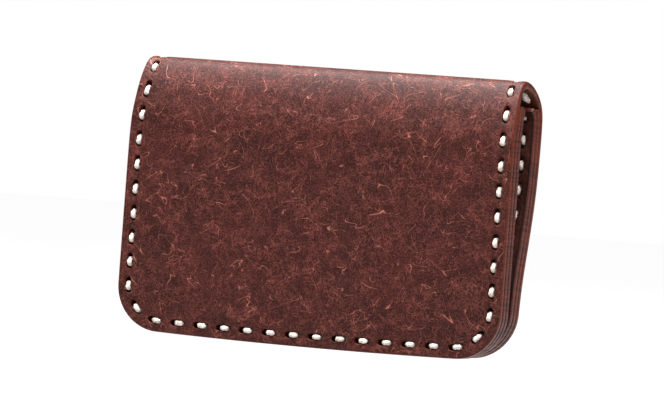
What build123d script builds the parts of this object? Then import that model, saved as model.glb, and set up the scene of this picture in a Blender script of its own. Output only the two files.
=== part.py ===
"""Stitched leather business card case, closed and standing on its open edges.

One cover sheet folds over the top of the case. On the inside of each half a pocket liner and a
pocket panel lie against the cover, and one thread seam round the edge holds the layers together.

Millimetres. +X runs along the fold, +Y points to the back half and +Z up to the fold. The origin
is on the standing surface, in the middle of the case.
"""
import os
from math import acos, cos, degrees, pi, radians, sin

from build123d import *

# ---------------------------------------------------------------- driving dimensions
pitch = 6.7                   # from one stitch to the next along the seam, on the flat leather
side_stitches = 10            # from the first stitch after the fold's centre down to the corner
bottom_stitches = 14          # between the two corner stitches
seam_half_width = 52.3        # from the middle of the case to a side seam
seam_corner_radius = 10.0     # of the seam line where it turns the bottom corners
edge_margin = 3.0             # from the seam line to the cut edge
corner_radius = 12.0          # of the cut edge at the bottom corners

cover_leather = 2.1           # thickness of the cover sheet
pocket_leather = 2.2          # thickness of the liners and pocket panels
layer_play = 0.05             # between two layers that lie on each other
outer_radius = 10.0           # of the outside of the fold
front_lean = radians(0.5)     # the front half leans out from its standing edge to the fold
back_lean = radians(4.9)      # and so does the back half
hinge_play = 0.1              # between neighbouring strips of the fold
pocket_top = 2.8              # the pockets' mouths above the fold's centre

thread = 1.3                  # diameter of the waxed thread
thread_sides = 8              # of its section, which stands for a round one
stitch_length = 4.4           # of the oval recess round each stitch
stitch_width = 1.7
recess_depth = 1.0            # of that recess in the cover's outer face
inner_recess_depth = 1.2      # of the recess in the pocket panel's inner face
fold_inner_recess = 0.2       # of the recess in the inner face of the fold
leg_spacing = 2.5             # between the two places where a stitch goes through the leather
leg_hole = 1.5                # diameter of those holes
bar_depth = 0.3               # from the outer face in to the middle of a stitch's bar
inner_bar_depth = 0.5         # the same from the pocket panel's inner face
thread_bend = 0.7             # radius of the thread's middle where it turns into a hole

# ---------------------------------------------------------------- worked out from them
half_width = seam_half_width + edge_margin
seam_run = (side_stitches + 1 + bottom_stitches / 2 + 0.5) * pitch
seam_drop = seam_run - seam_half_width + (2 - pi / 2) * seam_corner_radius
inner_radius = outer_radius - cover_leather
middle_radius = outer_radius - cover_leather / 2
strip_angle = pitch / middle_radius
strip_reach = strip_angle / 2 - hinge_play / 2 / outer_radius
hinge_angle = 1.5 * strip_angle
liner_outside = cover_leather + layer_play
liner_inside = liner_outside + pocket_leather
panel_outside = liner_inside + layer_play
panel_inside = panel_outside + pocket_leather

FRONT = -1
BACK = 1
lean = {FRONT: front_lean, BACK: back_lean}
fold_end = {side: pi / 2 + lean[side] for side in lean}
panel_length = {side: seam_drop + edge_margin - middle_radius * fold_end[side] for side in lean}
fold_height = max(
    outer_radius * sin(lean[side]) + panel_length[side] * cos(lean[side]) for side in lean
)


# ---------------------------------------------------------------- geometry of the closed case
def fold_point(radius, angle):
    """Point (y, z) on a circle about the fold's centre, angle from its top towards the front."""
    return (-radius * sin(angle), fold_height + radius * cos(angle))


def panel_point(side, depth, drop):
    """Point (y, z) of a flat half, depth in from its outer face, drop below the fold's curve."""
    y = (outer_radius - depth) * cos(lean[side]) - drop * sin(lean[side])
    z = fold_height - (outer_radius - depth) * sin(lean[side]) - drop * cos(lean[side])
    return (side * y, z)


def layer_outline(side, outside, inside, top):
    """Section of one layer of a half: straight up from the bottom, then round with the fold.

    top is the angle from the top of the fold at which the layer ends.
    """
    bottom = panel_length[side]
    outer = [-side * angle for angle in (fold_end[side], (top + fold_end[side]) / 2, top)]
    inner = outer[::-1]
    Line(panel_point(side, inside, bottom), panel_point(side, outside, bottom))
    Line(panel_point(side, outside, bottom), panel_point(side, outside, 0))
    ThreePointArc(*[fold_point(outer_radius - outside, angle) for angle in outer])
    Line(fold_point(outer_radius - outside, outer[-1]), fold_point(outer_radius - inside, inner[0]))
    ThreePointArc(*[fold_point(outer_radius - inside, angle) for angle in inner])
    Line(panel_point(side, inside, 0), panel_point(side, inside, bottom))


def mouth_angle(outside, inside):
    """Angle from the top of the fold at which a pocket layer reaches the height pocket_top."""
    return acos(pocket_top / (outer_radius - (outside + inside) / 2))


def strip_outline(middle):
    """Section of one strip of the fold, about an angle from its top towards the front."""
    angles = (middle - strip_reach, middle, middle + strip_reach)
    ThreePointArc(*[fold_point(outer_radius, angle) for angle in angles])
    Line(fold_point(outer_radius, angles[2]), fold_point(inner_radius, angles[2]))
    ThreePointArc(*[fold_point(inner_radius, angle) for angle in angles[::-1]])
    Line(fold_point(inner_radius, angles[0]), fold_point(outer_radius, angles[0]))


def outer_face(side):
    """Plane on a half's outer face: origin at the end of the fold's curve, its y up the case."""
    y, z = panel_point(side, 0, 0)
    outward = (0, side * cos(lean[side]), -sin(lean[side]))
    return Plane(origin=(0, y, z), x_dir=(-side, 0, 0), z_dir=outward)


def strip_face(angle):
    """Plane that touches the outside of the fold at an angle from its top, towards the front."""
    y, z = fold_point(outer_radius, angle)
    return Plane(origin=(0, y, z), x_dir=(1, 0, 0), z_dir=(0, -sin(angle), cos(angle)))


def seam_spot(run, half, side):
    """Location on a half's outer_face of the seam, run mm from the top of the fold.

    side is -1 or 1 for the seam's two branches, left and right of the middle.
    """
    straight = seam_drop - seam_corner_radius
    turn = min(max((run - straight) / seam_corner_radius, 0), pi / 2)
    past = max(run - straight - seam_corner_radius * pi / 2, 0)
    x = seam_half_width - seam_corner_radius * (1 - cos(turn)) - past
    drop = min(run, straight) + seam_corner_radius * sin(turn) - middle_radius * fold_end[half]
    return Location((side * x, -drop, 0), (0, 0, side * (90 - degrees(turn))))


def half_seam(half):
    """Locations on a half's outer_face of all its stitches, from the second one on."""
    last = side_stitches + 1 + bottom_stitches // 2
    return [seam_spot(number * pitch, half, side) for side in (-1, 1) for number in range(2, last + 1)]


strip_seam = [Location((side * seam_half_width, 0, 0), (0, 0, 90)) for side in (-1, 1)]
legs = [Location((side * leg_spacing / 2, 0, 0)) for side in (-1, 1)]


# ---------------------------------------------------------------- the thread's stitches
def stitch_route(height):
    """Middle of the thread in half a stitch: out along a bar, through the leather and back."""
    leg = leg_spacing / 2
    low = -bar_depth - height
    FilletPolyline((0, -bar_depth), (leg, -bar_depth), (leg, low), (0, low), radius=thread_bend)


with BuildPart() as half_stitch:
    with BuildLine(Plane.XZ) as route:
        stitch_route(panel_inside - bar_depth - inner_bar_depth)
    with BuildSketch(Plane.YZ):
        with Locations((0, -bar_depth)):
            RegularPolygon(thread / 2, thread_sides)
    sweep(path=route.line)
    mirror(about=Plane.YZ)

with BuildPart() as strip_stitch:
    with BuildLine(Plane.XZ) as route:
        stitch_route(cover_leather - bar_depth + thread / 2 - fold_inner_recess)
    with BuildSketch(Plane.YZ):
        with Locations((0, -bar_depth)):
            RegularPolygon(thread / 2, thread_sides)
    sweep(path=route.line)
    mirror(about=Plane.YZ)

os.makedirs("parts", exist_ok=True)

# ---------------------------------------------------------------- the two halves
for half, name in ((FRONT, "front"), (BACK, "back")):
    face = outer_face(half)
    through = Axis((0, 0, 0), (0, half * cos(lean[half]), -sin(lean[half])))
    spots = half_seam(half)

    with BuildPart() as cover:
        with BuildSketch(Plane.YZ):
            with BuildLine():
                layer_outline(half, 0, cover_leather, hinge_angle + hinge_play / 2 / outer_radius)
            make_face()
        extrude(amount=half_width, both=True)
        fillet(cover.edges().filter_by(through).sort_by(Axis.Z)[:2], corner_radius)
        with BuildSketch(face):
            with Locations(*spots):
                SlotOverall(stitch_length, stitch_width)
        extrude(amount=-recess_depth, mode=Mode.SUBTRACT)
        with BuildSketch(face):
            with Locations(*spots):
                with Locations(*legs):
                    Circle(leg_hole / 2)
        extrude(amount=-panel_inside, mode=Mode.SUBTRACT)
    cover.part.label = f"cover_{name}"
    export_step(cover.part, f"parts/cover_{name}.step")

    with BuildPart() as liner:
        with BuildSketch(Plane.YZ):
            with BuildLine():
                mouth = mouth_angle(liner_outside, liner_inside)
                layer_outline(half, liner_outside, liner_inside, mouth)
            make_face()
        extrude(amount=half_width, both=True)
        fillet(liner.edges().filter_by(through).sort_by(Axis.Z)[:2], corner_radius)
        with BuildSketch(face):
            with Locations(*spots):
                with Locations(*legs):
                    Circle(leg_hole / 2)
        extrude(amount=-panel_inside, mode=Mode.SUBTRACT)
    liner.part.label = f"{name}_pocket_liner"
    export_step(liner.part, f"parts/{name}_pocket_liner.step")

    with BuildPart() as panel:
        with BuildSketch(Plane.YZ):
            with BuildLine():
                mouth = mouth_angle(panel_outside, panel_inside)
                layer_outline(half, panel_outside, panel_inside, mouth)
            make_face()
        extrude(amount=half_width, both=True)
        fillet(panel.edges().filter_by(through).sort_by(Axis.Z)[:2], corner_radius)
        with BuildSketch(face.offset(-panel_inside - thread)):
            with Locations(*spots):
                SlotOverall(stitch_length, stitch_width)
        extrude(amount=thread + inner_recess_depth, mode=Mode.SUBTRACT)
        with BuildSketch(face):
            with Locations(*spots):
                with Locations(*legs):
                    Circle(leg_hole / 2)
        extrude(amount=-panel_inside, mode=Mode.SUBTRACT)
    panel.part.label = f"{name}_pocket_panel"
    export_step(panel.part, f"parts/{name}_pocket_panel.step")

    with BuildPart() as seam_thread:
        with Locations(face):
            with Locations(*spots):
                add(half_stitch.part)
    seam_thread.part.label = f"seam_thread_{name}"
    export_step(seam_thread.part, f"parts/seam_thread_{name}.step")

# ---------------------------------------------------------------- the fold, in three strips
for place, name in ((-1, "back"), (0, "crown"), (1, "front")):
    angle = place * strip_angle
    face = strip_face(angle)

    with BuildPart() as strip:
        with BuildSketch(Plane.YZ):
            with BuildLine():
                strip_outline(angle)
            make_face()
        extrude(amount=half_width, both=True)
        with BuildSketch(face):
            with Locations(*strip_seam):
                SlotOverall(stitch_length, stitch_width)
        extrude(amount=-recess_depth, mode=Mode.SUBTRACT)
        with BuildSketch(face.offset(-cover_leather - thread)):
            with Locations(*strip_seam):
                SlotOverall(stitch_length, stitch_width)
        extrude(amount=thread + fold_inner_recess, mode=Mode.SUBTRACT)
        with BuildSketch(face):
            with Locations(*strip_seam):
                with Locations(*legs):
                    Circle(leg_hole / 2)
        extrude(amount=-cover_leather - thread, mode=Mode.SUBTRACT)
    strip.part.label = f"fold_strip_{name}"
    export_step(strip.part, f"parts/fold_strip_{name}.step")

    with BuildPart() as fold_thread:
        with Locations(face):
            with Locations(*strip_seam):
                add(strip_stitch.part)
    fold_thread.part.label = f"fold_thread_{name}"
    export_step(fold_thread.part, f"parts/fold_thread_{name}.step")

# ---------------------------------------------------------------- places other people need
print("width, height", round(2 * half_width, 3), round(fold_height + outer_radius, 3))
print("fold centre height", round(fold_height, 4))
print("turn of each hinge in degrees", round(degrees(pi + front_lean + back_lean) / 4, 4))
for place in (-1.5, -0.5, 0.5, 1.5):
    y, z = fold_point(outer_radius, place * strip_angle)
    print("hinge line y, z", round(y, 4), round(z, 4))
y, z = panel_point(BACK, 0, panel_length[BACK] / 2)
print("middle of the back face y, z", round(y, 4), round(z, 4))
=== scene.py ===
# %% [markdown]
# # A stitched leather business card case
# The case is one long sheet of thick leather folded over the top, with a pocket liner and a pocket
# panel on the inside of each half, and one waxed thread that runs round the edge. It stands closed
# on its open edges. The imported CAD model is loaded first: it fixes where every piece is and how the
# fold bends. Blender then adds what makes the leather look like leather.

# %% Load the frame
import math

import bmesh
import bpy
import numpy as np
from mathutils import Matrix, Vector


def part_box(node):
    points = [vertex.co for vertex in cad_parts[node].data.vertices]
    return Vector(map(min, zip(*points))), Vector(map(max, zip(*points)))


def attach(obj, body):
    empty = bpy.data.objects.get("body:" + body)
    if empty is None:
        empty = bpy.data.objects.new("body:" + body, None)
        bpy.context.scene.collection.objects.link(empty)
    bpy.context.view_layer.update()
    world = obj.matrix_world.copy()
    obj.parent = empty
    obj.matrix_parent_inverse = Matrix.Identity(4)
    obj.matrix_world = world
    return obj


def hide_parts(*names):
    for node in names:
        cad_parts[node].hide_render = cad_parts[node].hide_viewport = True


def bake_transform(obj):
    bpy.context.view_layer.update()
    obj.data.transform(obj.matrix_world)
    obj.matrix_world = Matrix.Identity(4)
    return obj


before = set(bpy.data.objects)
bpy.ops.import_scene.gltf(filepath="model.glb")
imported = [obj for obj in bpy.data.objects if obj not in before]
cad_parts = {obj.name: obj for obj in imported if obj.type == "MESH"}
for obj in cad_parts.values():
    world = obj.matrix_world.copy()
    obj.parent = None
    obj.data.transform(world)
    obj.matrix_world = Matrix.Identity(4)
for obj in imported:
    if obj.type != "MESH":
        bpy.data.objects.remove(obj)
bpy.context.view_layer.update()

# %% [markdown]
# ## The measures that the pieces share
# A leather worker draws the whole case flat before cutting it. So do we: every point of a sheet
# has a place along the fold, x, a place along the flat leather from the top of the fold, s, and a
# depth below the outer face. The sizes that the CAD frame holds are read from it, and the few that
# it does not hold, such as the stitch pitch, are named here.

# %% Measures, in metres
cover_low, cover_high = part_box("cover_front")
half_width = cover_high.x
pitch = 0.0067
outer_radius = 0.0100
cover_leather = 0.0021
pocket_leather = 0.0022
layer_play = 0.00005
middle_radius = outer_radius - cover_leather / 2
fold_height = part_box("fold_strip_crown")[1].z - outer_radius
lean = {1: math.radians(0.5), -1: math.radians(4.9)}
edge_inset = 0.003
seam_half_width = half_width - edge_inset
seam_corner = 0.010
cut_corner = 0.012
stitch_count = 74
branch = stitch_count / 4 * pitch
side_run = branch - (seam_half_width - seam_corner) - seam_corner * math.pi / 2
slot_length, slot_width = 0.0044, 0.0017
thread_radius = 0.00068
print("fold centre height", round(fold_height, 5), "side run", round(side_run, 5))

# %% [markdown]
# ## The seam line on the flat sheet
# The holes are punched along a line a few millimetres in from the edge. On the flat sheet that line
# is a rounded rectangle 74 stitches long. A place on it is written as a stitch number, so whole
# numbers are stitches and halves lie between two of them. Stitches 0 and 37 are on top of the fold.


# %% Seam line and cut edge
def seam_point(u):
    """Seam line at stitch number u: x, s, the outward direction and the turn round the corner.

    The distance from the fold runs down one side, round a quarter circle and along the bottom; the
    other three quarters of the line are its mirror images.
    """
    run = np.mod(u * pitch, 4 * branch)
    far = np.abs(np.mod(run + branch, 2 * branch) - branch)
    right = np.where(np.abs(np.mod(run + 2 * branch, 4 * branch) - 2 * branch) < branch, 1.0, -1.0)
    front = np.where(run <= 2 * branch, 1.0, -1.0)
    turn = np.clip((far - side_run) / seam_corner, 0, math.pi / 2)
    past = np.maximum(far - side_run - seam_corner * math.pi / 2, 0)
    x = seam_half_width - seam_corner * (1 - np.cos(turn)) - past
    s = np.minimum(far, side_run) + seam_corner * np.sin(turn)
    return right * x, front * s, right * np.cos(turn), front * np.sin(turn), turn


def edge_margin(turn):
    """Distance from the seam line out to the cut edge.

    The two corners have different centres, so a line from the seam's centre meets first the
    straight edge, then a circle that lies further out, then the straight edge again.
    """
    shift = half_width - cut_corner - (seam_half_width - seam_corner)
    along = shift * (np.cos(turn) + np.sin(turn))
    circle = along + np.sqrt(along**2 - 2 * shift**2 + cut_corner**2)
    steep = np.maximum(np.cos(turn), np.sin(turn))
    straight = (shift + cut_corner) / steep
    gentle = np.minimum(np.cos(turn), np.sin(turn)) * straight <= shift
    return np.where(gentle, straight, circle) - seam_corner


def beside_seam(u, out):
    """Points of the flat sheet at a distance out from the seam line, outwards positive."""
    x, s, nx, ns, _ = seam_point(u)
    return x + out * nx, s + out * ns


print("stitches", 4 * branch / pitch, "margin at the corner", float(edge_margin(np.array(0.785))))

# %% [markdown]
# ## From the flat sheet to the folded case
# Leather folded and stitched by hand is not a ruled drawing. It draws in a little where it bends,
# the front slopes back gently towards the fold, the back half bulges and the bottom edge is
# slightly bowed. One function bends every layer and the thread, so they stay together.


# %% Bend function
# how far each softening moves the leather, then where along the sheet it acts, all in metres
waist_size, waist_reach = 0.0010, 0.0155
shoulder_size, shoulder_place, shoulder_reach = 0.0026, 0.0100, 0.0075
bulge_size, bulge_rise, bulge_hold, bulge_fade = 0.0026, 0.012, 0.016, 0.030
pinch_size, pinch_reach = 0.0005, 0.020
bow_size, bow_reach = 0.0009, 0.030
low_part = 0.030


def smooth_step(t):
    """0 below 0, 1 above 1 and a smooth curve between."""
    t = np.clip(t, 0, 1)
    return t * t * (3 - 2 * t)


def bend(x, s, depth):
    """A flat point in its place on the closed case.

    Near the fold the angle from the top is s over the middle radius; beyond the end of the arc the
    point carries on straight down the leaning half. Small bell curves along s add the waist, the
    soft shoulder, the bulge of the back, and a square law across x bows the bottom edge.
    """
    side = np.where(s >= 0, 1.0, -1.0)
    end = np.where(s >= 0, math.pi / 2 + lean[1], math.pi / 2 + lean[-1])
    length = np.abs(s)
    angle = np.minimum(length / middle_radius, end)
    drop = np.maximum(length - middle_radius * end, 0)
    radius = outer_radius - depth
    y = -side * (radius * np.sin(angle) + drop * np.cos(angle))
    z = fold_height + radius * np.cos(angle) - drop * np.sin(angle)
    waist = waist_size * np.exp(-((s / waist_reach) ** 2))
    shoulder = shoulder_size * np.exp(-(((s - shoulder_place) / shoulder_reach) ** 2))
    bulge_end = smooth_step((drop - bulge_hold) / bulge_fade)
    bulge = bulge_size * smooth_step(length / bulge_rise) * (1 - bulge_end)
    pinch = pinch_size * smooth_step((drop - low_part) / pinch_reach)
    bow = bow_size * (x / half_width) ** 2 * smooth_step((drop - low_part) / bow_reach)
    x = x * (1 - waist / half_width)
    y = y + shoulder + np.where(s < 0, bulge - pinch, 0.0)
    return np.stack([x, y, z + bow], -1)


sheet_end = side_run + seam_corner + edge_inset
print("top of the fold", bend(0.0, 0.0, 0.0).round(4))
print("front bottom", bend(0.0, sheet_end, 0.0).round(4))

# %% [markdown]
# ## One leather sheet with its punched slots
# Each stitch sits in an oval slot cut through the leather. A sheet is therefore a chain of cells,
# one for each stitch: rings of points run from the cell's rectangle in to the oval, down through
# the leather and out again on the other face. A rounded, burnished rim closes the outside of the
# chain, and a plain patch fills the middle. The rings follow the leather's thickness, so the
# slot's lip is drawn in softly, as it is where waxed thread pulls on it.

# %% Rings of a stitch cell
steps_run, steps_side = 8, 6
inner_reach = pitch / 2
rim_reach = 0.0008
arc_corner = math.radians(50)


def oval_ring(radius):
    """Half, then all, of an oval's points: arcs of this radius about the slot's two end centres."""
    centre = (slot_length - slot_width) / 2
    side = np.linspace(-arc_corner, arc_corner, steps_side + 1)[:-1]
    arc = radius * (math.pi / 2 - arc_corner)
    q = np.linspace(0, 2 * arc + 2 * centre, steps_run + 1)[:-1]
    rise = arc_corner + np.clip(q, 0, arc) / radius
    fall = math.pi / 2 + np.clip(q - arc - 2 * centre, 0, arc) / radius
    first = q <= arc + 2 * centre
    a_top = np.where(
        first,
        centre - np.clip(q - arc, 0, 2 * centre) + radius * np.cos(rise),
        -centre + radius * np.cos(fall),
    )
    v_top = np.where(first, radius * np.sin(rise), radius * np.sin(fall))
    a = np.concatenate([centre + radius * np.cos(side), a_top])
    v = np.concatenate([radius * np.sin(side), v_top])
    return np.concatenate([a, -a]), np.concatenate([v, -v])


def cell_border(numbers):
    """Rectangle round each stitch, as steps along the seam and shares across the band (0 to 1)."""
    along = np.concatenate(
        [
            np.full(steps_side, 0.5),
            np.linspace(0.5, -0.5, steps_run + 1)[:-1],
            np.full(steps_side, -0.5),
            np.linspace(-0.5, 0.5, steps_run + 1)[:-1],
        ]
    )
    share = np.concatenate(
        [
            np.linspace(0, 1, steps_side + 1)[:-1],
            np.ones(steps_run),
            np.linspace(1, 0, steps_side + 1)[:-1],
            np.zeros(steps_run),
        ]
    )
    u = numbers[:, None] + along[None, :]
    outer = edge_margin(seam_point(u)[4]) - rim_reach
    return along[None, :] * pitch * np.ones_like(u), -inner_reach + share * (outer + inner_reach)


# each ring: share of the way to the cell's border, distance outside the slot, depth below the face
lip_rings = [
    (1.0, 0.0, 0.0),
    (0.62, 0.00045, 0.00001),
    (0.30, 0.00040, 0.00003),
    (0.0, 0.00032, 0.00007),
    (0.0, 0.00014, 0.00012),
    (0.0, 0.00005, 0.00019),
    (0.0, 0.0, 0.00034),
]


def slot_cells(numbers, top, low):
    """Rings of all the cells of a sheet from its top face (depth top) through to its low face."""
    rings = [(share, out, top + dip) for share, out, dip in lip_rings]
    rings += [(share, out, low - dip) for share, out, dip in reversed(lip_rings)]
    border_a, border_v = cell_border(numbers)
    points = []
    for share, out, depth in rings:
        a, v = oval_ring(slot_width / 2 + out)
        a = (1 - share) * a + share * border_a
        v = (1 - share) * v + share * border_v
        x, s = beside_seam(numbers[:, None] + a / pitch, v)
        wall = 1.0 if share == 0.0 and out < 0.0001 else 0.0
        points.append(np.stack([x, s, np.full_like(x, depth), np.full_like(x, wall)], -1))
    return np.stack(points, 1)


print("points on a ring", len(oval_ring(slot_width / 2)[0]))

# %% [markdown]
# ## Rim, patch and mouth
# A cut edge is rubbed round and smooth with a wooden slicker, which leaves a soft bevel and a
# narrow groove where two layers meet. The patch between the seams is ruled across the sheet; near
# the bottom, its rows are drawn towards the rounded corners. Where a pocket opens, the sheet's
# whole section is carried on to the mouth and closed with a rounded end.

# %% Rim profile and middle patch
# each row: distance in from the cut edge, depth below the outer face
bevel_rows = [
    (0.0008, 0.0),
    (0.00055, 0.00002),
    (0.00034, 0.00008),
    (0.00017, 0.00018),
    (0.00006, 0.00032),
]
# stitch numbers where the seam turns: front right, front left, back left and back right corners
front_right, front_left, back_left, back_right = 11, 26, 48, 63
bottom_steps = (front_left - front_right) * steps_run


def rim_rows(top, low):
    """Rows of the rim from the top face round the cut edge to the low face."""
    thick = low - top
    rows = [(inset, top + dip) for inset, dip in bevel_rows]
    rows += [(0.0, top + thick * share) for share in (0.28, 0.5, 0.72)]
    return rows + [(inset, low - dip) for inset, dip in reversed(bevel_rows)]


def run_of(start, end):
    """Stitch numbers from start to end, spaced as the borders of the cells are."""
    return np.linspace(start, end, round(abs(end - start) * steps_run) + 1)


def rim_band(u, top, low):
    """The rim profile carried along the seam line's outside."""
    margin = edge_margin(seam_point(u)[4])
    rows = []
    for inset, depth in rim_rows(top, low):
        x, s = beside_seam(u, margin - inset)
        worn = 1.0 - inset / rim_reach
        rows.append(np.stack([x, s, np.full_like(x, depth), np.full_like(x, worn)], -1))
    return np.stack(rows, 0)


def patch(right_u, left_u, ends, depth):
    """Middle patch: straight rows from the left border to the right one.

    ends holds the two borders across the sheet (or None for a straight one). The difference between
    a border and its straight row is added to the rows near it, fading over a fifth of the patch.
    """
    right = np.stack(beside_seam(right_u, -inner_reach), -1)
    left = np.stack(beside_seam(left_u, -inner_reach), -1)
    share = np.linspace(0, 1, bottom_steps + 1)[None, :, None]
    grid = left[:, None] * (1 - share) + right[:, None] * share
    way = np.linspace(0, 1, len(right_u))
    for border, near in zip(ends, (way, 1 - way)):
        if border is not None:
            row = np.stack(beside_seam(border, -inner_reach), -1)
            index = 0 if near[0] == 0 else -1
            fade = smooth_step(1 - near / 0.2)[:, None, None]
            grid = grid + fade * (row - grid[index])[None]
    flat = np.zeros(grid.shape[:2] + (2,))
    flat[..., 0] = depth
    return np.concatenate([grid, flat], -1)


print("rim rows", len(rim_rows(0.0, cover_leather)), "steps along the bottom", bottom_steps)

# %% [markdown]
# ## Joining the grids
# Cells, rim and patch are separate grids of points. Where two of them share a border their points
# fall on one another, so rounding every point to a ten-thousandth of a millimetre finds the pairs
# and welds the grids into one closed skin.


# %% Quads and welding
weld_step = 1e-7


def quads(rows, columns, wrap, start):
    """Corners of the faces of a grid of points, counted from start; wrap joins its last column."""
    i = np.arange(rows - 1)[:, None]
    j = np.arange(columns if wrap else columns - 1)[None, :]
    k = (j + 1) % columns
    corners = [i * columns + j, i * columns + k, (i + 1) * columns + k, (i + 1) * columns + j]
    spread = [np.broadcast_to(c, (rows - 1, j.size)) for c in corners]
    return start + np.stack(spread, -1).reshape(-1, 4)


class Sheet:
    """Collects grids of flat points and welds points that fall on one another."""

    def __init__(self):
        self.points, self.faces, self.count = [], [], 0

    def add(self, grid, wrap=False):
        """One more grid; wrap joins its last column to its first."""
        rows, columns = grid.shape[:2]
        self.faces.append(quads(rows, columns, wrap, self.count))
        self.points.append(grid.reshape(-1, 4))
        self.count += rows * columns

    def welded(self):
        """The points that remain, and the faces numbered by them."""
        points = np.concatenate(self.points)
        keys = np.round(points[:, :3] / weld_step).astype(np.int64)
        _, first, where = np.unique(keys, axis=0, return_index=True, return_inverse=True)
        return points[first], where.reshape(-1)[np.concatenate(self.faces)]


def cut_sheet(numbers, top, low, right_u, left_u, ends, closed):
    """One punched sheet on the flat, open at the top row unless it is closed all the way round."""
    sheet = Sheet()
    for cell in slot_cells(numbers, top, low):
        sheet.add(cell, wrap=True)
    u = np.arange(len(numbers) * steps_run + 1) / steps_run + numbers[0] - 0.5
    sheet.add(rim_band(u[:-1], top, low) if closed else rim_band(u, top, low), wrap=closed)
    sheet.add(patch(right_u, left_u, ends, top))
    sheet.add(patch(right_u, left_u, ends, low))
    return sheet


print("faces of a 3 by 4 grid", len(quads(3, 4, False, 0)))

# %% [markdown]
# ## Turning a flat sheet into a mesh
# The same few lines finish every leather piece: bend the points, point the faces outwards, weigh
# the normals by face area so that wide flat faces stay flat beside a tight bevel, and keep the flat
# sheet's own measures as the UV map, in metres, so the grain is not stretched by the bending. Two
# attributes tell the material where the cut edge and the rough flesh side are.


# %% Mesh helpers
def read(items, field, width=1, kind=np.float32):
    """One field of a mesh's loops, polygons or points as an array."""
    values = np.zeros(len(items) * width, kind)
    items.foreach_get(field, values)
    return values.reshape(-1, width) if width > 1 else values


def weighed_normals(mesh):
    """Point normals: the sum of the faces' normals times their areas.

    The many-sided caps don't count.
    """
    sizes = read(mesh.polygons, "loop_total", kind=np.int32)
    weight = read(mesh.polygons, "area") * (sizes <= 4)
    pull = np.repeat(read(mesh.polygons, "normal", 3) * weight[:, None], sizes, axis=0)
    total = np.zeros((len(mesh.vertices), 3))
    np.add.at(total, read(mesh.loops, "vertex_index", kind=np.int32), pull)
    return total / np.maximum(np.linalg.norm(total, axis=1, keepdims=True), 1e-15)


def build_piece(name, flat, faces, flesh, normals=None):
    """Mesh object from flat points (x, s, depth, edge), with any open section closed by a cap."""
    mesh = bpy.data.meshes.new(name)
    mesh.from_pydata(bend(flat[:, 0], flat[:, 1], flat[:, 2]), [], faces)
    shell = bmesh.new()
    shell.from_mesh(mesh)
    rims = [e for e in shell.edges if len(e.link_faces) == 1]
    if rims:
        bmesh.ops.holes_fill(shell, edges=rims, sides=0)
    bmesh.ops.recalc_face_normals(shell, faces=shell.faces[:])
    still_open = sum(1 for e in shell.edges if len(e.link_faces) != 2)
    shell.to_mesh(mesh)
    shell.free()
    obj = bpy.data.objects.new(name, mesh)
    bpy.context.scene.collection.objects.link(obj)
    corner = read(mesh.loops, "vertex_index", kind=np.int32)
    uv = mesh.uv_layers.new(name="flat_leather")
    uv.data.foreach_set("uv", flat[corner, :2].astype(np.float32).reshape(-1))
    for title, value in (("cut_edge", flat[:, 3]), ("flesh", flesh)):
        layer = mesh.attributes.new(title, "FLOAT", "POINT")
        layer.data.foreach_set("value", value.astype(np.float32))
    mesh.polygons.foreach_set("use_smooth", np.ones(len(mesh.polygons), bool))
    if normals is None:
        normals = weighed_normals(mesh)
    sizes = read(mesh.polygons, "loop_total", kind=np.int32)
    own = np.repeat(read(mesh.polygons, "normal", 3), sizes, axis=0)
    leather = np.repeat(sizes <= 4, sizes)
    own[leather] = normals[corner[leather]]
    mesh.normals_split_custom_set(own.tolist())
    print(name, "faces", len(mesh.polygons), "open edges", still_open)
    return obj


def flesh_side(flat, low):
    """1 on the rough low face and 0 elsewhere, fading over a quarter of a millimetre."""
    fade = 0.00025
    return smooth_step((flat[:, 2] - low + fade) / fade) * (flat[:, 3] < 0.5)


# %% [markdown]
# ## The cover
# The cover is cut in one piece, so it is made whole first. Its seam runs all the way round. All
# normals are worked out on the whole sheet, before it is divided.

# %% Cover sheet
cover = cut_sheet(
    np.arange(float(stitch_count)),
    0.0,
    cover_leather,
    run_of(-front_right, front_right),
    run_of(back_left, front_left),
    (run_of(back_left, back_right), run_of(front_left, front_right)),
    closed=True,
)
flat_cover, cover_faces = cover.welded()
whole = build_piece("whole_cover", flat_cover, cover_faces, flesh_side(flat_cover, cover_leather))
cover_normals = weighed_normals(whole.data)
cover_faces = read(whole.data.loops, "vertex_index", kind=np.int32).reshape(-1, 4)
middle_of_face = flat_cover[cover_faces, 1].mean(1)
bpy.data.objects.remove(whole)
print("cover points", len(flat_cover), "faces", len(cover_faces))

# %% [markdown]
# ## Dividing the cover at the fold
# A mesh can bend between two bodies at a time, so the sheet is divided along straight lines across
# the fold: at the top of the fold and one stitch to either side.

# %% Divide the cover at the fold
# each part: name, start and end along the sheet, the two bodies, the line it bends from, CAD nodes
cover_parts = [
    ("cover_back_sheet", -1.0, -pitch, "back_half", "fold_back", -2, ["cover_back"]),
    ("cover_fold_behind", -pitch, 0.0, "fold_back", "fold_crown", -1, ["fold_strip_back"]),
    (
        "cover_fold_ahead", 0.0, pitch, "fold_crown", "fold_front", 0,
        ["fold_strip_crown", "fold_strip_front"],
    ),
    ("cover_front_sheet", pitch, 1.0, "fold_front", "front_half", 1, ["cover_front"]),
]
sheets = []
for name, start, end, from_body, to_body, line, cad_nodes in cover_parts:
    chosen = cover_faces[(middle_of_face > start) & (middle_of_face < end)]
    used, renumbered = np.unique(chosen, return_inverse=True)
    flat = flat_cover[used]
    part = build_piece(
        name,
        flat,
        renumbered.reshape(-1, 4),
        flesh_side(flat, cover_leather),
        cover_normals[used],
    )
    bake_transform(part)
    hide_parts(*cad_nodes)
    sheets.append(part)

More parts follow.
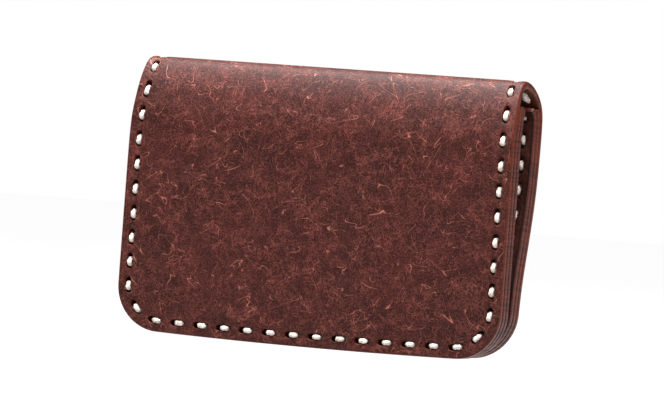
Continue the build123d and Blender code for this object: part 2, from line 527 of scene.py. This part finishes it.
# %% [markdown]
# ## Pocket liners and pocket panels
# The two layers inside each half are cut to the same outline as the cover and punched with it, so
# the same functions make them. They are open at the mouth, a little above the middle of the fold.
# The last section of the sheet is repeated towards the mouth and drawn in to a rounded end.


# %% Open sheets
pocket_numbers = np.arange(2.0, 36.0)
round_end = 0.0007
mouth_offset = 0.0028


def mouth_rows(top, low, mouth):
    """Sections from the first stitch cell up to the mouth; the last ones shrink to a round end."""
    band = edge_inset - rim_reach + inner_reach
    across = -inner_reach + np.linspace(0, 1, steps_side + 1) * band
    side = seam_half_width + across[::-1]
    inner = np.linspace(-1, 1, bottom_steps + 1)[1:-1] * (seam_half_width - inner_reach)
    face_x = np.concatenate([-side, inner, side[::-1]])
    rim = np.array(rim_rows(top, low))[1:-1]
    rim_x = half_width - rim[:, 0]
    worn = 1 - rim[:, 0] / rim_reach
    x = np.concatenate([face_x, rim_x, face_x[::-1], -rim_x[::-1]])
    still = np.zeros_like(face_x)
    depth = np.concatenate([still + top, rim[:, 1], still + low, rim[::-1, 1]])
    edge = np.concatenate([still, worn, still, worn[::-1]])
    first = (pocket_numbers[0] - 0.5) * pitch
    turn = np.linspace(0, math.pi / 2, 6)
    levels = [(s, 0.0, 0.0) for s in np.linspace(first, mouth + round_end, 4)[:-1]]
    levels += [
        (mouth + round_end * (1 - math.sin(t)), round_end * (1 - math.cos(t)), math.sin(t))
        for t in turn
    ]
    rows = []
    for s, inset, worn_end in levels:
        pull_x = x * (1 - inset / half_width)
        middle = (top + low) / 2
        pull_d = middle + (depth - middle) * (1 - 2 * inset / (low - top))
        rows.append(np.stack([pull_x, np.full_like(x, s), pull_d, np.maximum(edge, worn_end)], -1))
    return np.stack(rows)


def pocket_sheet(name, side, top, cad_node):
    """Liner or panel of one half; side is 1 for the front and -1 for the back."""
    low = top + pocket_leather
    mouth = middle_radius * math.acos(mouth_offset / (outer_radius - (top + low) / 2))
    sheet = cut_sheet(
        pocket_numbers,
        top,
        low,
        run_of(pocket_numbers[0] - 0.5, front_right),
        run_of(pocket_numbers[-1] + 0.5, front_left),
        (None, run_of(front_left, front_right)),
        closed=False,
    )
    sheet.add(mouth_rows(top, low, mouth), wrap=True)
    flat, faces = sheet.welded()
    flat[:, 1] *= side
    obj = build_piece(name, flat, faces, np.zeros(len(flat)))
    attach(obj, "front_half" if side > 0 else "back_half")
    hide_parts(cad_node)
    return obj


liner_top = cover_leather + layer_play
panel_top = liner_top + pocket_leather + layer_play
pockets = [
    pocket_sheet("liner_front", 1, liner_top, "front_pocket_liner"),
    pocket_sheet("panel_front", 1, panel_top, "front_pocket_panel"),
    pocket_sheet("liner_back", -1, liner_top, "back_pocket_liner"),
    pocket_sheet("panel_back", -1, panel_top, "back_pocket_panel"),
]

# %% [markdown]
# ## The waxed thread
# Three thick plies are twisted together and waxed. In each slot the thread comes up, lies across
# the leather for a moment and goes down again, so one closed loop stands for it. The loop's section
# has three lobes that turn as it goes along, which gives the slanting plies of a real twist, and a
# different start for each stitch keeps them from looking copied.


# %% Stitches
loop_leg, loop_top, bar_slope, bar_slide = 0.00084, 0.00020, 0.00030, 0.00022
plies, twist_length = 3, 0.00125
flat_deep, flat_wide = 0.94, 1.04


def loop_line(leg, top, low, slope, steps):
    """Middle of the thread in one stitch: a rounded box, resampled to equal steps.

    A superellipse with a low power gives the box its rounded corners. The bar on the outer face is
    tipped, so that one end dives into the slot first.
    """
    t = np.linspace(0, 2 * math.pi, 4001)
    a = leg * np.sign(np.cos(t)) * np.abs(np.cos(t)) ** 0.55
    rise = np.sign(np.sin(t)) * np.abs(np.sin(t)) ** 0.35
    d = (top + low) / 2 - rise * (low - top) / 2
    d = d + slope * a / leg * smooth_step(rise)
    length = np.concatenate([[0], np.cumsum(np.hypot(np.diff(a), np.diff(d)))])
    even = np.linspace(0, length[-1], steps + 1)[:-1]
    return np.interp(even, length, a), np.interp(even, length, d), length[-1]


def stitch(u, low, steps, start_turn):
    """Flat points of one stitch: three turning lobes carried round the loop line."""
    lead = 1.0 if front_right < u <= back_left else -1.0
    a, d, length = loop_line(loop_leg, loop_top, low, bar_slope * lead, steps)
    da, dd = np.roll(a, -1) - np.roll(a, 1), np.roll(d, -1) - np.roll(d, 1)
    size = np.hypot(da, dd)
    na, nd = dd / size, -da / size
    twist = np.arange(steps) / steps * 2 * math.pi * round(length / twist_length)
    phi = np.linspace(0, 2 * math.pi, 19)[:-1]
    lobe = np.cos(plies * phi[None, :] - twist[:, None] + start_turn)
    radius = thread_radius * (0.93 + 0.09 * lobe - 0.04 * lobe**2)
    along_n = radius * np.cos(phi) * flat_deep
    across = radius * np.sin(phi) * flat_wide
    a_all = a[:, None] + na[:, None] * along_n - lead * bar_slide
    d_all = d[:, None] + nd[:, None] * along_n
    x0, s0, nx, ns, _ = seam_point(np.array(float(u)))
    x = x0 + across * nx - a_all * ns
    s = s0 + across * ns + a_all * nx
    return np.stack([x, s, d_all, np.zeros_like(x)], -1)


def thread_piece(name, stitches, low, steps, body, cad_node):
    """All the stitches that ride on one body, as one mesh of closed loops."""
    points, faces, count = [], [], 0
    for u in stitches:
        loop = stitch(u, low, steps, twist_start[u])
        rows, columns = loop.shape[:2]
        points.append(bend(loop[..., 0], loop[..., 1], loop[..., 2]).reshape(-1, 3))
        grid = quads(rows + 1, columns, True, 0)
        faces.append(count + grid % (rows * columns))
        count += rows * columns
    mesh = bpy.data.meshes.new(name)
    mesh.from_pydata(np.concatenate(points), [], np.concatenate(faces))
    mesh.polygons.foreach_set("use_smooth", np.ones(len(mesh.polygons), bool))
    shell = bmesh.new()
    shell.from_mesh(mesh)
    bmesh.ops.recalc_face_normals(shell, faces=shell.faces[:])
    shell.to_mesh(mesh)
    shell.free()
    obj = bpy.data.objects.new(name, mesh)
    bpy.context.scene.collection.objects.link(obj)
    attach(obj, body)
    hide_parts(cad_node)
    print(name, "stitches", len(stitches), "faces", len(mesh.polygons))
    return obj


panel_low = panel_top + pocket_leather
twist_start = np.random.default_rng(7).uniform(0, 2 * math.pi, stitch_count)
half_low, fold_low = panel_low - 0.0005, cover_leather + 0.00045
threads = [
    thread_piece("thread_front", range(2, 36), half_low, 84, "front_half", "seam_thread_front"),
    thread_piece("thread_back", range(39, 73), half_low, 84, "back_half", "seam_thread_back"),
    thread_piece("thread_fold_ahead", (1, 36), fold_low, 60, "fold_front", "fold_thread_front"),
    thread_piece("thread_fold_top", (0, 37), fold_low, 60, "fold_crown", "fold_thread_crown"),
    thread_piece("thread_fold_behind", (38, 73), fold_low, 60, "fold_back", "fold_thread_back"),
]

# %% [markdown]
# ## A leather that shows its fibres
# The leather is dyed and waxed, and every scuff of the knife and the brush shows as a short, paler,
# curved hair. Painting them one by one would take a picture; noise can draw them instead. Where a
# smooth noise crosses its middle value it leaves a thin curved line. Stretching the noise one way
# makes the lines long, and a second noise rubs most of each line out, which leaves short hairs.
# Several such layers at different angles make the tangle.


# %% Node helpers
def link(tree, source, target):
    """Joins an output socket to an input socket."""
    tree.links.new(source, target)


def add_node(tree, kind, **properties):
    """A node with its own properties set by name."""
    node = tree.nodes.new(kind)
    for key, value in properties.items():
        setattr(node, key, value)
    return node


def set_inputs(node, values):
    """Constants on a node's own sockets, by socket name."""
    for title, value in values.items():
        node.inputs[title].default_value = value


def maths(tree, operation, a, b=None, c=None):
    """A Math node; a, b and c are sockets or numbers."""
    node = add_node(tree, "ShaderNodeMath", operation=operation)
    for socket, value in zip(node.inputs, (a, b, c)):
        if value is None:
            continue
        if isinstance(value, (int, float)):
            socket.default_value = value
        else:
            link(tree, value, socket)
    return node.outputs[0]


def span(tree, value, low, high, to_low=0.0, to_high=1.0):
    """A smooth Map Range from low..high to to_low..to_high."""
    node = add_node(tree, "ShaderNodeMapRange", interpolation_type="SMOOTHSTEP")
    link(tree, value, node.inputs["Value"])
    set_inputs(node, {"From Min": low, "From Max": high, "To Min": to_low, "To Max": to_high})
    return node.outputs["Result"]


def blend_colour(tree, share, first, second):
    """Mix of two colours; each is a socket or a plain colour."""
    node = add_node(tree, "ShaderNodeMix", data_type="RGBA")
    sockets = (node.inputs[0], node.inputs[6], node.inputs[7])
    for socket, value in zip(sockets, (share, first, second)):
        if isinstance(value, (tuple, float, int)):
            socket.default_value = value if isinstance(value, (float, int)) else (*value, 1.0)
        else:
            link(tree, value, socket)
    return node.outputs[2]


def srgb(r, g, b):
    """Colour given as the three 0 to 255 values of a paint chart, made linear."""
    return tuple(
        ((c / 255 + 0.055) / 1.055) ** 2.4 if c > 10 else c / 255 / 12.92 for c in (r, g, b)
    )


print("middle grey, made linear", [round(c, 3) for c in srgb(128, 128, 128)])

# %% [markdown]
# ## Hairs
# One layer of hairs is drawn by two noises: the first gives the lines, the second rubs most of them
# out. Five layers of fine hairs and three of long curls lie over one another, and each is turned and
# moved so that no two agree.


# %% Hair layers
# each layer: angle in degrees, stretch, scale of the noise, shift in millimetres
fine_hairs = (
    (12, 3.5, 1.45, 0.0),
    (48, 3.0, 1.60, 13.0),
    (85, 3.5, 1.50, 29.0),
    (121, 3.0, 1.65, 41.0),
    (157, 3.5, 1.40, 57.0),
)
long_curls = (
    (30, 2.5, 0.30, 71.0),
    (75, 3.0, 0.34, 83.0),
    (140, 2.5, 0.28, 97.0),
)


def noise(tree, place, scale, detail=2.0, roughness=0.5, distortion=0.0):
    """A Noise Texture's value at a place."""
    node = add_node(tree, "ShaderNodeTexNoise", noise_dimensions="3D")
    link(tree, place, node.inputs["Vector"])
    set_inputs(node, {"Scale": scale, "Detail": detail})
    set_inputs(node, {"Roughness": roughness, "Distortion": distortion})
    return node.outputs["Fac"]


def turned(tree, place, angle, stretch, shift):
    """Coordinates moved, then turned by an angle, then stretched one way, so each layer differs."""
    node = add_node(tree, "ShaderNodeMapping", vector_type="TEXTURE")
    link(tree, place, node.inputs["Vector"])
    set_inputs(node, {"Rotation": (0, 0, math.radians(angle)), "Scale": (1.0, stretch, 1.0)})
    set_inputs(node, {"Location": (shift, -shift, 0.37 * shift)})
    return node.outputs["Vector"]


def hair_tangle(tree, place, layers, width, mask_scale, keep):
    """Layers of hairs laid over one another: thin lines at a noise's middle value, rubbed out."""
    whole = None
    for angle, stretch, scale, shift in layers:
        at = turned(tree, place, angle, stretch, shift)
        from_middle = maths(tree, "SUBTRACT", noise(tree, at, scale, 1.0, 0.5, 0.6), 0.5)
        line = span(tree, maths(tree, "ABSOLUTE", from_middle), 0.0, width, 1.0, 0.0)
        rubbed = span(tree, noise(tree, at, mask_scale, 1.0), keep, keep + 0.08)
        layer = maths(tree, "MULTIPLY", line, rubbed)
        whole = layer if whole is None else maths(tree, "MAXIMUM", whole, layer)
    return whole


print("hair layers", len(fine_hairs), "fine and", len(long_curls), "long")

# %% [markdown]
# ## Dye, worn edges and the flesh side
# The colours are laid one over another as on the bench: mottled dye, specks and pits of the grain,
# then the hairs. The cut edge shows a lighter, burnished colour, a dark line of painted shade lies
# in the groove beside it where two layers meet, and the unfinished flesh side is raw and pale.


# %% Colour of the leather
def leather_fields(tree):
    """The noises shared by colour, gloss and bumps, on the flat sheet in millimetres."""
    uv = add_node(tree, "ShaderNodeUVMap", uv_map="flat_leather").outputs["UV"]
    millimetres = add_node(tree, "ShaderNodeVectorMath", operation="SCALE")
    set_inputs(millimetres, {"Scale": 1000.0})
    link(tree, uv, millimetres.inputs[0])
    place = millimetres.outputs[0]
    return {
        "clouds": noise(tree, place, 0.055, 3.0, 0.6, 0.4),
        "patches": noise(tree, place, 0.16, 3.0, 0.6, 0.3),
        "grain": noise(tree, place, 2.2, 3.0, 0.7),
        "fine": noise(tree, place, 5.0, 1.0),
        "fuzz": hair_tangle(tree, place, fine_hairs, 0.032, 0.60, 0.47),
        "curls": hair_tangle(tree, place, long_curls, 0.008, 0.30, 0.55),
        "worn": add_node(tree, "ShaderNodeAttribute", attribute_name="cut_edge").outputs["Fac"],
        "raw": add_node(tree, "ShaderNodeAttribute", attribute_name="flesh").outputs["Fac"],
    }


def dyed_face(tree, fields, dark, base, pale):
    """Colour of the smooth face."""
    ground = blend_colour(tree, span(tree, fields["clouds"], 0.36, 0.66), dark, base)
    speck = maths(tree, "MULTIPLY", span(tree, fields["grain"], 0.46, 0.70), 0.45)
    ground = blend_colour(tree, speck, ground, pale)
    pits = maths(tree, "MULTIPLY", span(tree, fields["fine"], 0.62, 0.40), 0.35)
    ground = blend_colour(tree, pits, ground, dark)
    tangle = span(tree, fields["patches"], 0.34, 0.66, 0.40, 1.0)
    hair_share = maths(tree, "MULTIPLY", maths(tree, "MULTIPLY", fields["fuzz"], tangle), 0.66)
    ground = blend_colour(tree, hair_share, ground, pale)
    curl_share = maths(tree, "MULTIPLY", fields["curls"], 0.6)
    return blend_colour(tree, curl_share, ground, srgb(186, 116, 100))


def worn_groove_shade_and_raw(tree, fields, ground, dark, base, edge, raw, groove_shade):
    """The face's colour with the burnished edge, painted shade in the groove beside it and the flesh
    side added.
    """
    grain, worn = fields["grain"], fields["worn"]
    edge_colour = blend_colour(tree, span(tree, grain, 0.35, 0.65), edge, base)
    edge_share = maths(tree, "MULTIPLY", span(tree, worn, 0.35, 0.95), 0.85)
    ground = blend_colour(tree, edge_share, ground, edge_colour)
    # Painted shade: a dark line on the bevel where two layers meet, in the groove between them.
    inward = span(tree, worn, 0.0, 0.2)
    outward = span(tree, worn, 0.55, 0.95, groove_shade, 0.0)
    painted_groove_shade = maths(tree, "MULTIPLY", inward, outward)
    ground = blend_colour(tree, painted_groove_shade, ground, srgb(18, 7, 5))
    raw_colour = blend_colour(tree, span(tree, grain, 0.30, 0.70), raw, dark)
    return blend_colour(tree, fields["raw"], ground, raw_colour)


# The dark line beside the edge is painted shade in the groove between layers.
print("dark line beside the edge", [round(c, 4) for c in srgb(18, 7, 5)])

# %% [markdown]
# ## Gloss and relief
# Waxed leather is a little shinier on its worn edges and dull on the flesh side. The relief is only
# a tenth of a millimetre deep, so it is left to a bump.


# %% Leather material
def bumps(tree, shader, height, strength, distance):
    """A Bump node from a height socket to the shader."""
    bump = add_node(tree, "ShaderNodeBump")
    set_inputs(bump, {"Strength": strength, "Distance": distance})
    link(tree, height, bump.inputs["Height"])
    link(tree, bump.outputs["Normal"], shader.inputs["Normal"])


def leather(name, dark, base, pale, edge, raw, gloss, groove_shade):
    """Dyed leather: mottled base, pale hairs, burnished edge, painted shade in the groove and rough
    flesh side.
    """
    material = bpy.data.materials.new(name)
    material.use_nodes = True
    tree = material.node_tree
    shader = tree.nodes["Principled BSDF"]
    fields = leather_fields(tree)
    face = dyed_face(tree, fields, dark, base, pale)
    colour = worn_groove_shade_and_raw(tree, fields, face, dark, base, edge, raw, groove_shade)
    link(tree, colour, shader.inputs["Base Color"])

    grain = fields["grain"]
    dull = span(tree, grain, 0.3, 0.7, gloss - 0.05, gloss + 0.07)
    dull = maths(tree, "MULTIPLY_ADD", fields["raw"], 0.3, dull)
    dull = maths(tree, "MULTIPLY_ADD", fields["worn"], -0.16, dull)
    link(tree, dull, shader.inputs["Roughness"])
    set_inputs(shader, {"Specular IOR Level": 0.14})

    coarse_height = maths(tree, "MULTIPLY", grain, 0.6)
    fine_height = maths(tree, "MULTIPLY", fields["fine"], 0.35)
    height = maths(tree, "ADD", coarse_height, fine_height)
    height = maths(tree, "ADD", height, maths(tree, "MULTIPLY", fields["fuzz"], 0.25))
    bumps(tree, shader, height, 0.35, 0.00010)
    return material


cover_skin = leather(
    "waxed_cover_leather",
    dark=srgb(33, 10, 6), base=srgb(46, 15, 11), pale=srgb(130, 69, 61),
    edge=srgb(112, 44, 22), raw=srgb(112, 64, 34), gloss=0.46, groove_shade=0.0,
)
# The pocket leather carries painted shade in the grooves between layers; the cover carries none.
pocket_skin = leather(
    "waxed_pocket_leather",
    dark=srgb(28, 10, 7), base=srgb(42, 16, 12), pale=srgb(100, 52, 44),
    edge=srgb(106, 46, 32), raw=srgb(110, 62, 36), gloss=0.50, groove_shade=0.9,
)
for piece in sheets:
    piece.data.materials.append(cover_skin)
for piece in pockets:
    piece.data.materials.append(pocket_skin)
print("leather nodes", len(cover_skin.node_tree.nodes))

# %% [markdown]
# ## Waxed thread
# The plies are spun from white fibre and rubbed with wax, so the thread is off-white, a little
# greyer where the wax has picked up dust, and has a soft shine. The colour changes slowly along the
# case and has fine fibres in it; the plies themselves are in the mesh.


# %% Thread material
def thread_finish():
    """Off-white fibre with faint fluff and a little dust in the wax."""
    material = bpy.data.materials.new("waxed_thread")
    material.use_nodes = True
    tree = material.node_tree
    shader = tree.nodes["Principled BSDF"]
    at = add_node(tree, "ShaderNodeTexCoord").outputs["Object"]
    fluff = noise(tree, at, 5200.0, 2.0, 0.6)
    dust = noise(tree, at, 420.0, 2.0)
    dusty = span(tree, dust, 0.35, 0.70)
    colour = blend_colour(tree, dusty, srgb(226, 218, 210), srgb(196, 180, 168))
    fluffy = span(tree, fluff, 0.60, 0.30, 0.0, 0.5)
    colour = blend_colour(tree, fluffy, colour, srgb(168, 150, 138))
    link(tree, colour, shader.inputs["Base Color"])
    set_inputs(shader, {"Roughness": 0.55, "Specular IOR Level": 0.35})
    bumps(tree, shader, fluff, 0.4, 0.00006)
    return material


thread_skin = thread_finish()
for piece in threads:
    piece.data.materials.append(thread_skin)
print("thread nodes", len(thread_skin.node_tree.nodes))

# %% [markdown]
# ## A pale floor
# The case stands on a wide pale disc. The disc glows a little by itself and reflects little, so that
# it stays white without throwing grey light on the dark leather.


# %% Floor
def floor_disc(reach=6.0, rings=6, spokes=96):
    """A flat disc: rings whose radius grows by equal shares, each carried once round the middle."""
    turn = np.linspace(0, 2 * math.pi, spokes + 1)[:-1]
    radius = reach * np.linspace(0, 1, rings + 1)[1:, None]
    ring = np.stack([radius * np.cos(turn), radius * np.sin(turn), 0 * radius * turn], -1)
    points = np.concatenate([ring.reshape(-1, 3), [[0, 0, 0]]])
    first = np.arange(spokes)
    centre_fan = np.stack([first, (first + 1) % spokes, np.full(spokes, rings * spokes)], -1)
    faces = quads(rings, spokes, True, 0)[:, ::-1].tolist() + centre_fan.tolist()
    mesh = bpy.data.meshes.new("floor")
    mesh.from_pydata(points, [], faces)
    obj = bpy.data.objects.new("floor", mesh)
    bpy.context.scene.collection.objects.link(obj)
    paint = bpy.data.materials.new("pale_floor")
    paint.use_nodes = True
    shader = paint.node_tree.nodes["Principled BSDF"]
    set_inputs(shader, {"Base Color": (0.06, 0.06, 0.06, 1), "Roughness": 0.9})
    set_inputs(shader, {"Specular IOR Level": 0.0, "Emission Color": (1, 1, 1, 1)})
    set_inputs(shader, {"Emission Strength": 0.97})
    mesh.materials.append(paint)
    return obj


floor = floor_disc()
print("floor faces", len(floor.data.polygons))

# %% [markdown]
# ## Soft light
# Leather is lit from large soft panels: one straight above, whose reflection runs along the fold,
# one above and in front for the shoulder below it, and two at the sides that open the shadows. Only
# the camera sees the white sky at full strength; as a light it is dim, so it lays no grey veil.

# %% Lights and world
centre = Vector((0.0, 0.0, fold_height / 2))
sky_light, sky_seen_more = 0.08, 0.92
# each panel: name, place, width, height, watts
panels = [
    ("top_panel", (0.0, 0.02, 0.80), 0.9, 0.6, 26.0),
    ("front_top_panel", (0.0, -0.45, 0.80), 0.9, 0.35, 12.0),
    ("left_panel", (-0.9, -0.8, 0.55), 0.6, 0.6, 1.2),
    ("right_panel", (1.0, -0.45, 0.40), 0.4, 0.6, 3.0),
]


def soft_panel(name, place, width, height, watts):
    """A rectangular light panel that faces the middle of the case."""
    light = bpy.data.lights.new(name, "AREA")
    light.shape = "RECTANGLE"
    light.size, light.size_y, light.energy = width, height, watts
    obj = bpy.data.objects.new(name, light)
    obj.location = place
    obj.rotation_mode = "QUATERNION"
    obj.rotation_quaternion = (centre - Vector(place)).to_track_quat("-Z", "Y")
    bpy.context.scene.collection.objects.link(obj)


def studio_sky():
    """White where the camera looks straight at it, and dim where it lights the case."""
    world = bpy.data.worlds.new("studio")
    bpy.context.scene.world = world
    world.use_nodes = True
    tree = world.node_tree
    seen = tree.nodes.new("ShaderNodeLightPath").outputs["Is Camera Ray"]
    background = tree.nodes["Background"]
    set_inputs(background, {"Color": (1, 1, 1, 1)})
    strength = maths(tree, "MULTIPLY_ADD", seen, sky_seen_more, sky_light)
    link(tree, strength, background.inputs["Strength"])


for panel in panels:
    soft_panel(*panel)
studio_sky()
bpy.context.scene.view_settings.view_transform = "Standard"
print("light panels", len(panels), "watts in all", sum(panel[-1] for panel in panels))

# %% [markdown]
# ## The camera
# A long lens from about a metre and a half keeps the case's edges nearly parallel. The camera stands
# to the right, almost level with the case, and is rolled a few degrees.

# %% Camera
azimuth, rise, roll = math.radians(22.5), math.radians(0.2), math.radians(4.5)
distance, lens_length, sensor_width = 1.449, 293.6, 36.0
aim_drop, aim_right, aim_up = 0.028, 0.0014, 0.00104
back = Vector(
    (math.sin(azimuth) * math.cos(rise), -math.cos(azimuth) * math.cos(rise), math.sin(rise))
)
level = Vector((math.cos(azimuth), math.sin(azimuth), 0.0))
upright = back.cross(level)
camera_x = math.cos(roll) * level + math.sin(roll) * upright
camera_y = math.cos(roll) * upright - math.sin(roll) * level
target = Vector((0.0, 0.0, fold_height - aim_drop)) + aim_right * camera_x + aim_up * camera_y
camera_data = bpy.data.cameras.new("camera")
camera_data.lens, camera_data.sensor_width = lens_length, sensor_width
camera_data.clip_start, camera_data.clip_end = 0.05, 20.0
camera = bpy.data.objects.new("camera", camera_data)
bpy.context.scene.collection.objects.link(camera)
turn_matrix = Matrix((camera_x, camera_y, back)).transposed().to_4x4()
camera.matrix_world = Matrix.Translation(target + distance * back) @ turn_matrix
bpy.context.scene.camera = camera
print("camera at", [round(c, 3) for c in camera.matrix_world.translation])
